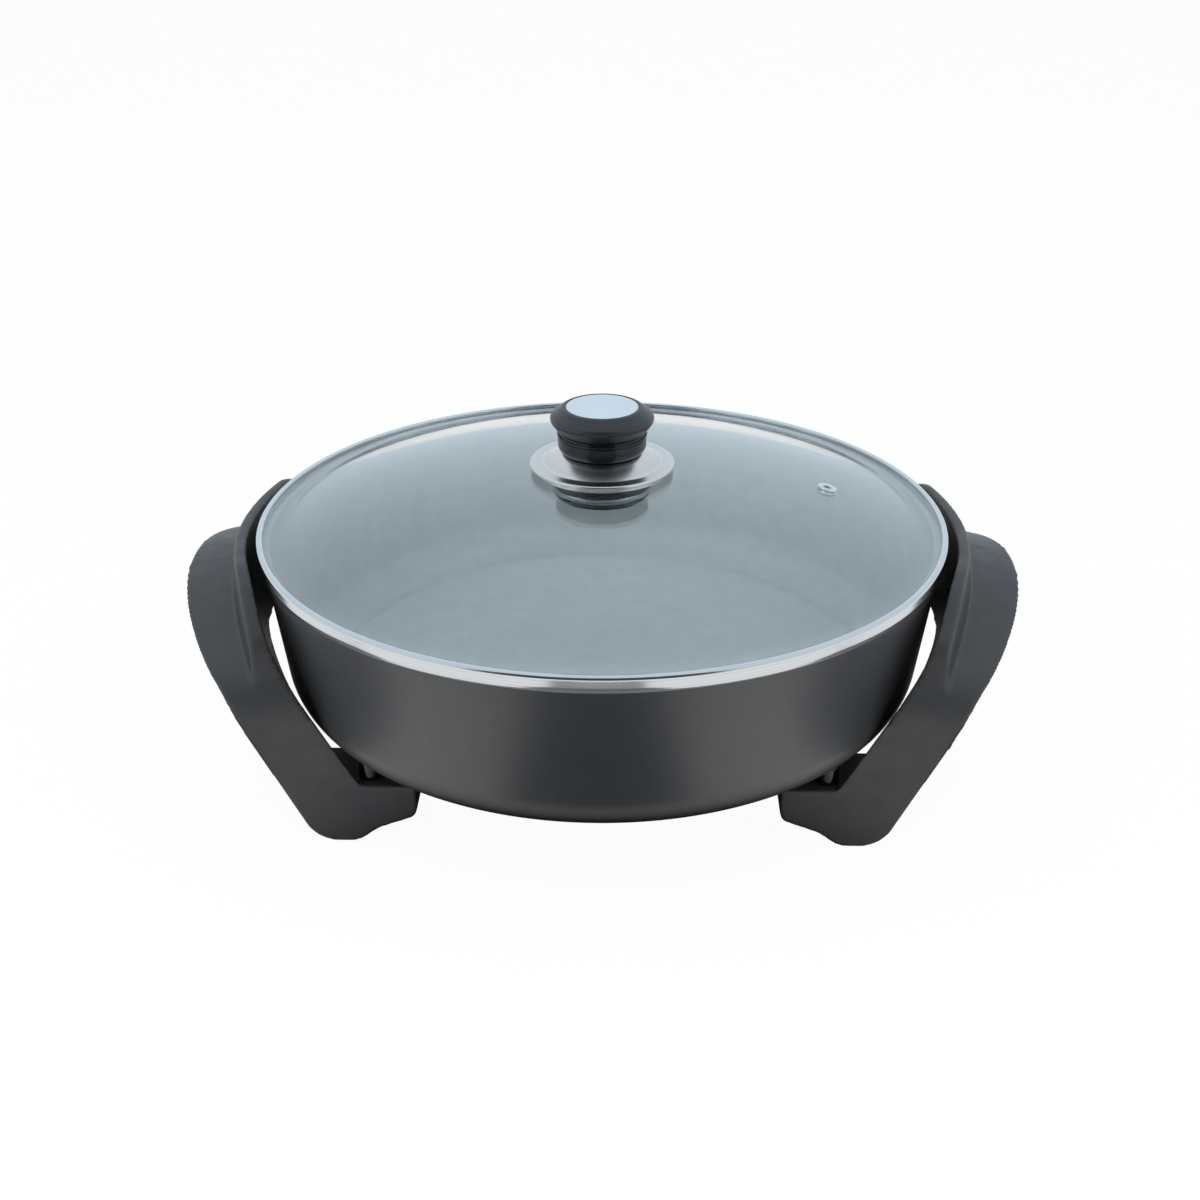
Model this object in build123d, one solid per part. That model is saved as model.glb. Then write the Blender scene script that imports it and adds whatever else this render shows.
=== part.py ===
from build123d import *
from math import asin, atan2, cos, degrees, radians, sin, sqrt
import os

# Electric skillet: a coated cast pan on two moulded handles with feet, a plug-in inlet
# at the rear and a lift-off glass lid. Millimetres, +Z up. The origin is on the table,
# under the middle of the pan. The handles are at +X and -X, the inlet is at +Y.

# Pan
pan_lip_radius = 178.3
pan_lip_height = 133.4      # top of the lip, above the table
pan_bottom_height = 46.6    # underside, above the table
pan_taper = 0.136           # the wall leans outwards this much per millimetre up
pan_corner_radius = 28.0
pan_wall = 4.4
pan_floor = 5.0
pan_inner_corner = 22.0
bead_height = 6.5
bead_proud = 0.7
lip_round = 1.0

# Cast plate brazed under the pan, with the ridge that the heating element lies in
heat_plate_margin = 2.9     # past the ridge
heat_plate_thickness = 3.0
heat_plate_round = 1.0
ring_radius = 95.0
tube_radius = 3.5
groove_clearance = 0.1
ridge_margin = 3.5          # metal each side of the groove
ridge_depth = 7.0
ridge_round = 1.0
lead_bend_radius = 14.0
lead_spacing = 26.0
lead_end_inset = 8.8        # of the leads' ends, from the pan's foot radius

# Clamps under the element
clamp_angles = (45, 135, 225, 315)
clamp_thickness = 1.2
clamp_width = 10.0
clamp_inner_reach = 17.0    # from the tube's centre to the screw
clamp_end_margin = 1.5
clamp_round = 2.0
clamp_screw_radius = 2.0
clamp_head_radius = 3.6
clamp_head_height = 1.8
clamp_thread_length = 8.0
clamp_post_radius = 5.0

# Base plate
base_plate_margin = 2.0     # past the cast plate
base_plate_sheet = 1.0
base_plate_bend = 0.8       # inside radius
base_plate_rim = 6.0
base_plate_drop = 14.5      # from the pan's underside to the top of the plate
base_post_circle = 58.0
base_post_radius = 5.0
base_post_angles = (90, 210, 330)
base_screw_radius = 2.0
base_head_radius = 4.0
base_head_height = 2.0
base_thread_length = 9.0
lead_notch_margin = 8.0

# Inlet
housing_width = 62.0
housing_wall = 3.0
housing_height = 20.0
mouth_depth = 17.0          # from the bulkhead to the rear face
housing_round = 4.0
bulkhead_thickness = 6.0
tray_length = 45.0          # from the leads' ends forwards
tray_top_gap = 1.0          # under the pan
pin_radius = 2.5
pin_shoulder_radius = 3.2
pin_exposed = 13.0
pin_tip = 1.0
insulator_radius = 5.0
insulator_proud = 1.5
probe_bore_radius = 3.2
probe_wall = 0.8
probe_reach = 51.0          # of the closed end, from the leads' ends forwards
probe_end_thickness = 1.5
probe_saddle_width = 14.0
earth_width = 9.0
earth_sheet = 0.8
earth_length = 15.0
earth_round = 2.2
lug_reach = 9.0
lug_length = 10.0
lug_thickness = 4.0
lug_setback = 31.0          # from the leads' ends forwards
lug_screw_radius = 2.0
lug_head_radius = 3.6
lug_head_height = 1.8
lug_boss_radius = 5.0
lug_thread_length = 3.0     # in the pan

# Handles: distances past the pan's lip or in from its foot, and heights below its lip
arch_half_width = 100.0     # front and rear faces of the legs
arch_spring_drop = 71.4
arch_crest_drop = 10.3
arch_corner_radius = 42.0
ear_thickness = 8.0
leg_thickness = 13.0
ear_length = 41.3           # past the lip
ear_tilt = 0.22             # fall of the ear and the arch per millimetre outwards
ear_edge_drop = 16.4
ear_edge_round = 6.0
knee_length = 8.5           # past the lip
knee_drop = 48.9
knee_round = 60.0
guard_gap = 6.8             # between the lip and the guard
guard_thickness = 6.2
guard_rise = 3.2            # above the lip
guard_top_round = 1.5
guard_flat_half = 64.0
guard_crown_round = 26.0
guard_shoulder_inset = 10.0  # from the legs' front and rear faces
guard_shoulder_drop = 23.8
guard_shoulder_round = 20.0
guard_draft = 0.075         # the outer face leans outwards this much per millimetre down
guard_edge_inset = 4.0      # where the guard's edge sinks into the leg
guard_edge_drop = 52.4
guard_edge_round = 12.0
guard_bottom_half = 22.0    # half the level stretch of its lower edge
guard_bottom_drop = 48.8
guard_bottom_fall = 34.0    # its lower edge sinks this much more towards the legs
guard_bottom_round = 33.0
guard_join_drop = 27.8      # above it the inside of the guard is upright
guard_join_round = 60.0
pan_side_gap = 6.3          # between the pan's wall and the legs
leg_inside_round = 80.0
leg_root_inset = 9.9        # of the legs' inside at the top of the feet, from the pan's foot
leg_root_round = 3.0
toe_height = 34.0           # top of the foot, above the table
toe_end_height = 16.0
toe_end_round = 5.0
toe_length = 20.0           # from the toe's end to the hollow
toe_hollow_length = 10.5    # from there to the sole
toe_hollow_height = 8.5
toe_hollow_round = 12.0
sole_inset = 22.0           # of the sole's outer end, from the pan's foot
sole_length = 21.3
sole_inner_round = 14.0
sole_outer_round = 18.0
toe_depth = 38.0            # front to back
foot_lift = 0.5             # the moulding's lowest point, above the table

# Feet and their fasteners
leg_screw_inset = 49.8      # from the pan's foot
leg_screw_setback = 11.0    # from the legs' front and rear faces
leg_screw_radius = 2.5
leg_head_radius = 4.6
leg_head_height = 3.0
leg_thread_length = 6.5     # in the pan
leg_washer_radius = 5.4
leg_washer_thickness = 1.2
counterbore_radius = 5.9
counterbore_height = 16.0   # its roof, above the table
spacer_radius = 6.5
pan_boss_radius = 7.0
pan_boss_drop = 3.0
pad_inset = 35.8            # from the pan's foot
pad_setback = 16.0
pad_radius = 6.5
pad_thickness = 4.0
pad_round = 0.6

# Lid
lid_overhang = 1.7          # past the pan's lip
lid_gap = 0.3               # between the pan's lip and the band
band_height = 7.8
band_width = 6.2            # under the glass
band_top_width = 3.4        # over the glass
band_round = 2.4
band_inner_round = 0.6
glass_bite = 3.6            # how far the glass goes into the band
glass_thickness = 4.0
glass_rise = 29.0           # from the brim to the crown, top face
glass_brim = 9.0
brim_round = 12.0
vent_inset = 61.0           # from the band's outside
vent_angle = 3.0
vent_outer_radius = 5.25
vent_hole_radius = 2.0
vent_shank_radius = 3.6
vent_flange = 1.0
vent_flange_round = 0.6

# Knob
knob_screw_radius = 2.5
knob_head_radius = 4.6
knob_head_height = 2.6
plate_radius = 37.6
plate_height = 4.2          # from the glass to the top of the rim
plate_sheet = 1.0
plate_rim_width = 4.5
plate_slope_width = 6.1     # from the rim down to the dish
plate_rim_thickness = 2.0
plate_skirt_inset = 2.4     # of the skirt under the rim
plate_dish_bend = 3.0
plate_rim_bend = 2.0
plate_hub_radius = 20.5     # of the raised middle that the stem stands on
plate_hub_slope = 4.6       # width of the slope round it
plate_rise = 7.0            # of the raised middle
plate_hub_bend = 1.2
plate_edge_round = 1.2
stem_radius = 23.0
stem_bottom_round = 4.0
stem_height = 9.0
collar_proud = 0.4
collar_height = 1.8
collar_groove = 0.8         # height of the groove above and below the collar
collar_groove_depth = 0.9
cap_base_radius = 22.3
cap_radius = 27.85
cap_height = 13.2
cap_widest_height = 7.6
cap_shoulder_bulge = 0.9
disc_radius = 18.6
disc_thickness = 0.8
disc_lip = 0.9
cap_thread_length = 7.0
seal_radius = 19.0
seal_thickness = 0.6
seat_radius = 25.4
seat_height = 13.4
seat_bottom_round = 3.8
seat_ring_lift = 4.2
seat_ring_height = 2.4
seat_ring_width = 0.9
seat_ring_proud = 0.35
knob_recess_depth = 4.0

# Screws, as shares of their heads
head_round_share = 0.45
socket_radius_share = 0.42
socket_depth_share = 0.5

# Clearances and edges
edge_break = 0.3
screw_fit = 0.05            # radial, of a thread or a close bore
hole_fit = 0.3              # radial, of a plain hole
seat_fit = 0.05             # of a flat piece that seats on the curved glass
blind_margin = 0.5          # depth left below a screw's end

# Places worked out from the sizes above
pan_foot_radius = pan_lip_radius - bead_proud - pan_taper * (pan_lip_height - pan_bottom_height)
element_height = pan_bottom_height - ridge_depth
groove_radius = tube_radius + groove_clearance
ridge_half = groove_radius + ridge_margin
heat_plate_radius = ring_radius + ridge_half + heat_plate_margin
base_plate_radius = heat_plate_radius + base_plate_margin
inner_floor_height = pan_bottom_height + pan_floor
boss_root = pan_bottom_height + pan_floor / 2
post_root = pan_bottom_height - heat_plate_thickness / 2
element_underside = element_height - tube_radius
clamp_circle = ring_radius - clamp_inner_reach
base_plate_top = pan_bottom_height - base_plate_drop
housing_bottom = element_height - housing_height / 2
housing_top = element_height + housing_height / 2
tray_top = pan_bottom_height - tray_top_gap
lead_end = pan_foot_radius - lead_end_inset
tray_front = lead_end - tray_length
lug_position = lead_end - lug_setback
probe_closed_end = lead_end - probe_reach
bulkhead_back = lead_end + bulkhead_thickness
housing_mouth = bulkhead_back + mouth_depth
insulator_end = bulkhead_back + insulator_proud
lug_x = housing_width / 2 + lug_reach / 2
ear_reach = pan_lip_radius + ear_length
knee_reach = pan_lip_radius + knee_length
guard_inner_radius = pan_lip_radius + guard_gap
guard_top_height = pan_lip_height + guard_rise
guard_edge_height = pan_lip_height - guard_edge_drop
arch_spring_height = pan_lip_height - arch_spring_drop
arch_crest_height = pan_lip_height - arch_crest_drop
leg_root_radius = pan_foot_radius - leg_root_inset
sole_outer = pan_foot_radius - sole_inset
sole_inner = sole_outer - sole_length
toe_hollow_reach = sole_inner - toe_hollow_length
toe_inner = toe_hollow_reach - toe_length
leg_screw_x = pan_foot_radius - leg_screw_inset
leg_screw_y = arch_half_width - leg_screw_setback
pad_x = pan_foot_radius - pad_inset
pad_y = arch_half_width - pad_setback
leg_boss_base = pan_bottom_height - pan_boss_drop
lid_radius = pan_lip_radius + lid_overhang
lid_base_height = pan_lip_height + lid_gap
band_middle = lid_base_height + band_height / 2
brim_top = band_middle + glass_thickness / 2
crown_height = brim_top + glass_rise
glass_radius = lid_radius - band_width + glass_bite
dome_radius = glass_radius - glass_brim
glass_sphere = (dome_radius ** 2 + glass_rise ** 2) / (2 * glass_rise)
glass_below = crown_height - glass_thickness
vent_place = lid_radius - vent_inset
knob_plate_base = crown_height + seal_thickness
plate_hub_base = knob_plate_base + plate_rise
stem_base = plate_hub_base + plate_sheet
cap_base = stem_base + stem_height + collar_height
knob_seat_top = glass_below - seal_thickness
knob_seat_base = knob_seat_top - seat_height
knob_screw_seat = knob_seat_base + knob_recess_depth
knob_bore = knob_screw_radius + hole_fit


def pan_radius(height):
    """Outside of the tapered wall."""
    return pan_foot_radius + pan_taper * (height - pan_bottom_height)


def glass_top(radius):
    return crown_height - glass_sphere + sqrt(glass_sphere ** 2 - radius ** 2)


def turned(points, rounds):
    """Solid of revolution about Z from (radius, height) points and their corner rounds."""
    outline = FilletPolyline(points, radius=rounds, close=True)
    return revolve(Plane.XZ * make_face(outline), Axis.Z)


def rod(radius, low, high, x=0.0, y=0.0):
    low_end = (Align.CENTER, Align.CENTER, Align.MIN)
    return Pos(x, y, low) * Cylinder(radius, high - low, align=low_end)


def rod_y(radius, near, far, x, z):
    """Rod along +Y."""
    low_end = (Align.CENTER, Align.CENTER, Align.MIN)
    return Pos(x, near, z) * Rot(-90, 0, 0) * Cylinder(radius, far - near, align=low_end)


def block(x0, x1, y0, y1, z0, z1):
    return Pos(x0, y0, z0) * Box(x1 - x0, y1 - y0, z1 - z0, align=(Align.MIN, Align.MIN, Align.MIN))


def tube(outer, inner, low, high, x=0.0, y=0.0):
    return rod(outer, low, high, x, y) - rod(inner, low, high, x, y)


def round_the_axis(shape, angles):
    return [Rot(0, 0, angle) * shape for angle in angles]


def leg_places(x, y):
    return [(side * x, end * y) for side in (-1, 1) for end in (-1, 1)]


def upward_screw(shank_radius, head_radius, head_height, seat, length, x=0.0, y=0.0):
    """Pan-head screw driven from below; its head's flat is at the seat height."""
    low = seat - head_height
    head = turned([(0, low), (head_radius, low), (head_radius, seat), (0, seat)],
                  [0, head_height * head_round_share, 0, 0])
    hexagon = RegularPolygon(head_radius * socket_radius_share, 6)
    socket = Pos(0, 0, low) * extrude(hexagon, head_height * socket_depth_share)
    return Pos(x, y, 0) * (head + rod(shank_radius, seat, seat + length) - socket)


# Pan ---------------------------------------------------------------------------------

def blind_hole(screw_radius, seat, thread_length, x, y=0.0):
    """Hole up from a seat for a screw's thread, a little deeper than the screw goes."""
    return rod(screw_radius + screw_fit, seat, seat + thread_length + blind_margin, x, y)


def make_pan():
    bead_low = pan_lip_height - bead_height
    body = turned(
        [(0, pan_bottom_height), (pan_foot_radius, pan_bottom_height),
         (pan_radius(bead_low), bead_low), (pan_radius(bead_low) + bead_proud, bead_low),
         (pan_lip_radius, pan_lip_height), (0, pan_lip_height)],
        [0, pan_corner_radius, 0, bead_proud / 2, lip_round, 0])
    lip_inner = pan_lip_radius - bead_proud - pan_wall
    above_lip = pan_lip_height + bead_height
    cavity = turned(
        [(0, inner_floor_height), (pan_radius(inner_floor_height) - pan_wall, inner_floor_height),
         (lip_inner, pan_lip_height), (lip_inner, above_lip), (0, above_lip)],
        [0, pan_inner_corner, 0, 0, 0])
    for x, y in leg_places(leg_screw_x, leg_screw_y):
        body += rod(pan_boss_radius, leg_boss_base, pan_bottom_height + pan_corner_radius / 2, x, y)
        body -= blind_hole(leg_screw_radius, leg_boss_base, leg_thread_length, x, y)
    for side in (-1, 1):
        body += rod(lug_boss_radius, tray_top, boss_root, side * lug_x, lug_position)
        body -= blind_hole(lug_screw_radius, tray_top, lug_thread_length, side * lug_x, lug_position)
    return body - cavity


# Heating plate, element and fixings ---------------------------------------------------

def element_path():
    """Open ring whose two ends bend out to the rear as straight leads."""
    half = lead_spacing / 2
    bend_x = half + lead_bend_radius
    bend_y = sqrt((ring_radius + lead_bend_radius) ** 2 - bend_x ** 2)
    share = ring_radius / (ring_radius + lead_bend_radius)
    join_x = bend_x * share
    join_y = bend_y * share
    end_angle = degrees(atan2(join_y - bend_y, join_x - bend_x)) + 360
    middle = radians((180 + end_angle) / 2)
    turn_x = bend_x + lead_bend_radius * cos(middle)
    turn_y = bend_y + lead_bend_radius * sin(middle)
    edges = [
        Line((half, lead_end), (half, bend_y)),
        ThreePointArc((half, bend_y), (turn_x, turn_y), (join_x, join_y)),
        ThreePointArc((join_x, join_y), (0, -ring_radius), (-join_x, join_y)),
        ThreePointArc((-join_x, join_y), (-turn_x, turn_y), (-half, bend_y)),
        Line((-half, bend_y), (-half, lead_end))]
    return Pos(0, 0, element_height) * Wire(edges)


def along_element(radius):
    path = element_path()
    return sweep(Plane(origin=path @ 0, z_dir=path % 0) * Circle(radius), path)


def make_heating_plate():
    low = pan_bottom_height - heat_plate_thickness
    plate = turned([(0, low), (heat_plate_radius, low), (heat_plate_radius, pan_bottom_height),
                    (0, pan_bottom_height)], [0, heat_plate_round, 0, 0])
    ridge = tube(ring_radius + ridge_half, ring_radius - ridge_half, element_height, post_root)
    plate += fillet(ridge.edges().group_by(Axis.Z)[0], ridge_round)
    clamp_post = rod(clamp_post_radius, element_underside, post_root, clamp_circle)
    base_post = rod(base_post_radius, base_plate_top, post_root, base_post_circle)
    plate += round_the_axis(clamp_post, clamp_angles)
    plate += round_the_axis(base_post, base_post_angles)
    plate += block(-probe_saddle_width / 2, probe_saddle_width / 2, ring_radius,
                   pan_foot_radius - pan_corner_radius, element_height, pan_bottom_height)
    plate -= along_element(groove_radius)
    plate -= rod_y(probe_bore_radius + probe_wall + screw_fit, probe_closed_end,
                   pan_foot_radius, 0, element_height)
    clamp_hole = blind_hole(clamp_screw_radius, element_underside, clamp_thread_length, clamp_circle)
    base_hole = blind_hole(base_screw_radius, base_plate_top, base_thread_length, base_post_circle)
    plate -= round_the_axis(clamp_hole, clamp_angles)
    return plate - round_the_axis(base_hole, base_post_angles)


def make_clamps():
    near = clamp_circle - clamp_post_radius
    far = ring_radius + tube_radius + clamp_end_margin
    top = element_underside
    strap = block(near, far, -clamp_width / 2, clamp_width / 2, top - clamp_thickness, top)
    strap = fillet(strap.edges().filter_by(Axis.Z), clamp_round)
    strap -= rod(clamp_screw_radius + hole_fit, top - clamp_thickness, top, clamp_circle)
    return round_the_axis(strap, clamp_angles)


def make_clamp_screws():
    seat = element_underside - clamp_thickness
    length = clamp_thickness + clamp_thread_length
    screw = Pos(clamp_circle, 0, 0) * upward_screw(
        clamp_screw_radius, clamp_head_radius, clamp_head_height, seat, length)
    return round_the_axis(screw, clamp_angles)


def make_base_plate():
    low = base_plate_top - base_plate_sheet
    rim_top = base_plate_top + base_plate_rim
    inner = base_plate_radius - base_plate_sheet
    plate = turned(
        [(0, low), (base_plate_radius, low), (base_plate_radius, rim_top), (inner, rim_top),
         (inner, base_plate_top), (0, base_plate_top)],
        [0, base_plate_bend + base_plate_sheet, 0, 0, base_plate_bend, 0])
    hole = rod(base_screw_radius + hole_fit, low, base_plate_top, base_post_circle)
    plate -= round_the_axis(hole, base_post_angles)
    notch_half = lead_spacing / 2 + tube_radius + lead_notch_margin
    return plate - block(-notch_half, notch_half, 0, base_plate_radius,
                         base_plate_top + base_plate_sheet, rim_top)


def make_base_screws():
    seat = base_plate_top - base_plate_sheet
    screw = Pos(base_post_circle, 0, 0) * upward_screw(
        base_screw_radius, base_head_radius, base_head_height, seat,
        base_plate_sheet + base_thread_length)
    return round_the_axis(screw, base_post_angles)


# Inlet -------------------------------------------------------------------------------

def make_socket_shroud():
    half = housing_width / 2
    inner = half - housing_wall
    floor_top = housing_bottom + housing_wall
    mouth = block(-half, half, lead_end, housing_mouth, housing_bottom, housing_top)
    mouth = fillet(mouth.edges().filter_by(Axis.Y), housing_round)
    cavity = block(-inner, inner, bulkhead_back, housing_mouth, floor_top, housing_top - housing_wall)
    cavity = fillet(cavity.edges().filter_by(Axis.Y), max(housing_round - housing_wall, edge_break))
    tray = block(-half, half, tray_front, lead_end + housing_wall, housing_bottom, tray_top)
    tray_room = block(-inner, inner, tray_front, lead_end, floor_top, tray_top)
    shroud = mouth - cavity + (tray - tray_room)
    for side in (-1, 1):
        lug_low = tray_top - lug_thickness
        inner_x = half - housing_wall / 2
        lug = block(inner_x, half + lug_reach, lug_position - lug_length / 2,
                    lug_position + lug_length / 2, lug_low, tray_top)
        lug -= rod(lug_screw_radius + hole_fit, lug_low, tray_top, lug_x, lug_position)
        shroud += lug if side > 0 else lug.mirror(Plane.YZ)
        shroud -= rod_y(insulator_radius + screw_fit, lead_end - housing_wall, bulkhead_back,
                        side * lead_spacing / 2, element_height)
    shroud -= rod_y(probe_bore_radius + probe_wall + screw_fit, lead_end - housing_wall,
                    bulkhead_back, 0, element_height)
    return shroud


def make_socket_screws():
    seat = tray_top - lug_thickness
    return [upward_screw(lug_screw_radius, lug_head_radius, lug_head_height, seat,
                         lug_thickness + lug_thread_length, side * lug_x, lug_position)
            for side in (-1, 1)]


def make_terminal_pins():
    pins = []
    for side in (-1, 1):
        x = side * lead_spacing / 2
        shoulder = rod_y(pin_shoulder_radius, lead_end, insulator_end, x, element_height)
        shank = rod_y(pin_radius, insulator_end, insulator_end + pin_exposed, x, element_height)
        tip = shank.edges().group_by(Axis.Y)[-1]
        pins.append(shoulder + chamfer(tip, pin_tip))
    return pins


def make_pin_insulators():
    return [rod_y(insulator_radius, lead_end, insulator_end, side * lead_spacing / 2, element_height)
            - rod_y(pin_shoulder_radius + screw_fit, lead_end, insulator_end,
                    side * lead_spacing / 2, element_height)
            for side in (-1, 1)]


def make_probe_tube():
    outer = rod_y(probe_bore_radius + probe_wall, probe_closed_end, bulkhead_back, 0, element_height)
    return outer - rod_y(probe_bore_radius, probe_closed_end + probe_end_thickness,
                         bulkhead_back, 0, element_height)


def make_earth_contact():
    low = housing_bottom + housing_wall
    strip = block(-earth_width / 2, earth_width / 2, bulkhead_back, bulkhead_back + earth_length,
                  low, low + earth_sheet)
    return fillet(strip.edges().filter_by(Axis.Z).group_by(Axis.Y)[-1], earth_round)


# Handles -----------------------------------------------------------------------------

def arch_prism(half_width, spring, crest, corner):
    """Three-centred arch across Y on straight legs, run outwards along +X with the ear's fall.
    Its heights are those at the guard's outer face."""
    rise = crest - spring
    top_radius = (half_width ** 2 + rise ** 2 - 2 * half_width * corner) / (2 * (rise - corner))
    centre = crest - top_radius
    slope = atan2(spring - centre, half_width - corner)
    join_y = top_radius * cos(slope)
    join_z = centre + top_radius * sin(slope)
    middle = slope / 2
    side_y = half_width - corner + corner * cos(middle)
    side_z = spring + corner * sin(middle)
    foot = -toe_height - ear_tilt * guard_inner_radius
    edges = [
        Line((-half_width, foot), (half_width, foot)),
        Line((half_width, foot), (half_width, spring)),
        ThreePointArc((half_width, spring), (side_y, side_z), (join_y, join_z)),
        ThreePointArc((join_y, join_z), (0, crest), (-join_y, join_z)),
        ThreePointArc((-join_y, join_z), (-side_y, side_z), (-half_width, spring)),
        Line((-half_width, spring), (-half_width, foot))]
    section = Plane.YZ * make_face(Wire(edges))
    lift = ear_tilt * (guard_inner_radius + guard_thickness)
    length = (ear_reach + ear_thickness) * sqrt(1 + ear_tilt ** 2)
    return extrude(Pos(0, 0, lift) * section, length, dir=(1, 0, -ear_tilt))


def handle_outline():
    """Front view of the handle, from the toe round the sole and out to the ear."""
    corners = [
        (toe_inner, arch_crest_height, 0),
        (toe_inner, toe_end_height, toe_end_round),
        (toe_hollow_reach, toe_hollow_height, toe_hollow_round),
        (sole_inner, foot_lift, sole_inner_round),
        (sole_outer, foot_lift, sole_outer_round),
        (knee_reach, pan_lip_height - knee_drop, knee_round),
        (ear_reach, pan_lip_height - ear_edge_drop, ear_edge_round),
        (ear_reach, arch_crest_height, 0)]
    points = [(x, z) for x, z, _ in corners]
    rounds = [corner_round for _, _, corner_round in corners]
    return Plane.XZ * make_face(FilletPolyline(points, radius=rounds, close=True))


def leg_clearance():
    """Room round the pan: upright inside the guard, then closing in under the pan."""
    above = guard_top_height + guard_thickness
    return turned(
        [(0, toe_height), (leg_root_radius, toe_height),
         (pan_radius(guard_edge_height) + pan_side_gap, guard_edge_height),
         (guard_inner_radius, pan_lip_height - guard_join_drop),
         (guard_inner_radius, above), (0, above)],
        [0, leg_root_round, leg_inside_round, guard_join_round, 0, 0])


def make_guard():
    """Wall round the pan, cut to its side view."""
    bottom = pan_lip_height - guard_bottom_drop
    half = [
        (guard_flat_half, guard_top_height, guard_crown_round),
        (arch_half_width - guard_shoulder_inset, pan_lip_height - guard_shoulder_drop,
         guard_shoulder_round),
        (arch_half_width - guard_edge_inset, guard_edge_height, guard_edge_round),
        (arch_half_width - leg_thickness, bottom - guard_bottom_fall, 0),
        (guard_bottom_half, bottom, guard_bottom_round)]
    corners = half + [(-y, z, corner_round) for y, z, corner_round in reversed(half)]
    points = [(y, z) for y, z, _ in corners]
    rounds = [corner_round for _, _, corner_round in corners]
    outline = FilletPolyline(points, radius=rounds, close=True)
    side_view = extrude(Plane.YZ * make_face(outline), ear_reach)
    top_radius = guard_inner_radius + guard_thickness
    foot_radius = top_radius + guard_draft * (guard_top_height - toe_height)
    wall = turned([(leg_root_radius, toe_height), (foot_radius, toe_height),
                   (top_radius, guard_top_height), (leg_root_radius, guard_top_height)],
                  [0, 0, guard_top_round, 0])
    return wall & side_view


def make_right_handle():
    moulding = extrude(handle_outline(), arch_half_width, both=True)
    moulding &= arch_prism(arch_half_width, arch_spring_height, arch_crest_height, arch_corner_radius)
    inner_corner = arch_corner_radius - (ear_thickness + leg_thickness) / 2
    hollow = arch_prism(arch_half_width - leg_thickness, arch_spring_height,
                        arch_crest_height - ear_thickness, inner_corner)
    foot_gap = arch_half_width - toe_depth
    feet_room = block(0, ear_reach, -arch_half_width, arch_half_width, -toe_height, toe_height)
    feet_room -= block(0, ear_reach, -foot_gap, foot_gap, -toe_height, toe_height)
    moulding -= hollow - feet_room
    moulding += make_guard()
    moulding -= leg_clearance()
    for end in (-1, 1):
        y = end * leg_screw_y
        moulding -= rod(counterbore_radius, -foot_lift, counterbore_height, leg_screw_x, y)
        moulding -= rod(leg_screw_radius + hole_fit, counterbore_height, toe_height, leg_screw_x, y)
        moulding -= rod(pad_radius + hole_fit, -foot_lift, pad_thickness, pad_x, end * pad_y)
    return moulding


def make_leg_spacers():
    return [tube(spacer_radius, leg_screw_radius + hole_fit, toe_height, leg_boss_base, x, y)
            for x, y in leg_places(leg_screw_x, leg_screw_y)]


def make_leg_washers():
    low = counterbore_height - leg_washer_thickness
    return [tube(leg_washer_radius, leg_screw_radius + hole_fit, low, counterbore_height, x, y)
            for x, y in leg_places(leg_screw_x, leg_screw_y)]


def make_leg_screws():
    seat = counterbore_height - leg_washer_thickness
    length = leg_boss_base + leg_thread_length - seat
    return [upward_screw(leg_screw_radius, leg_head_radius, leg_head_height, seat, length, x, y)
            for x, y in leg_places(leg_screw_x, leg_screw_y)]


def make_foot_pads():
    pad = turned([(0, 0), (pad_radius, 0), (pad_radius, pad_thickness), (0, pad_thickness)],
                 [0, pad_round, 0, 0])
    return [Pos(x, y, 0) * pad for x, y in leg_places(pad_x, pad_y)]


# Lid ---------------------------------------------------------------------------------

def vent_plane():
    """Where the vent goes through the glass, square to it."""
    tilt = degrees(asin(vent_place / glass_sphere))
    return Rot(0, 0, vent_angle) * Pos(vent_place, 0, glass_top(vent_place)) * Rot(0, tilt, 0)


def make_lid_glass():
    sphere = glass_sphere - glass_thickness
    lower_brim = brim_top - glass_thickness
    centre = crown_height - glass_sphere
    inner_dome = sqrt(sphere ** 2 - (lower_brim - centre) ** 2)
    half_top = (dome_radius / 2, glass_top(dome_radius / 2))
    half_low = (inner_dome / 2, centre + sqrt(sphere ** 2 - (inner_dome / 2) ** 2))
    section = make_face(Wire([
        ThreePointArc((0, crown_height), half_top, (dome_radius, brim_top)),
        Line((dome_radius, brim_top), (glass_radius, brim_top)),
        Line((glass_radius, brim_top), (glass_radius, lower_brim)),
        Line((glass_radius, lower_brim), (inner_dome, lower_brim)),
        ThreePointArc((inner_dome, lower_brim), half_low, (0, glass_below)),
        Line((0, glass_below), (0, crown_height))]))
    bends = [v for v in section.vertices() if dome_radius / 2 < v.X < glass_radius]
    section = fillet(bends, brim_round)
    glass = revolve(Plane.XZ * section, Axis.Z)
    glass -= rod(knob_bore, glass_below - glass_thickness, crown_height + glass_thickness)
    glass -= vent_plane() * rod(vent_shank_radius + screw_fit, -glass_thickness * 2, glass_thickness)
    return glass


def make_lid_rim():
    inner = lid_radius - band_width
    top_inner = lid_radius - band_top_width
    top = lid_base_height + band_height
    channel = glass_radius + screw_fit
    return turned(
        [(inner, lid_base_height), (lid_radius, lid_base_height), (lid_radius, top), (top_inner, top),
         (top_inner, brim_top), (channel, brim_top), (channel, brim_top - glass_thickness),
         (inner, brim_top - glass_thickness)],
        [band_inner_round, band_round, band_round, band_inner_round, edge_break, 0, 0, edge_break])


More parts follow.
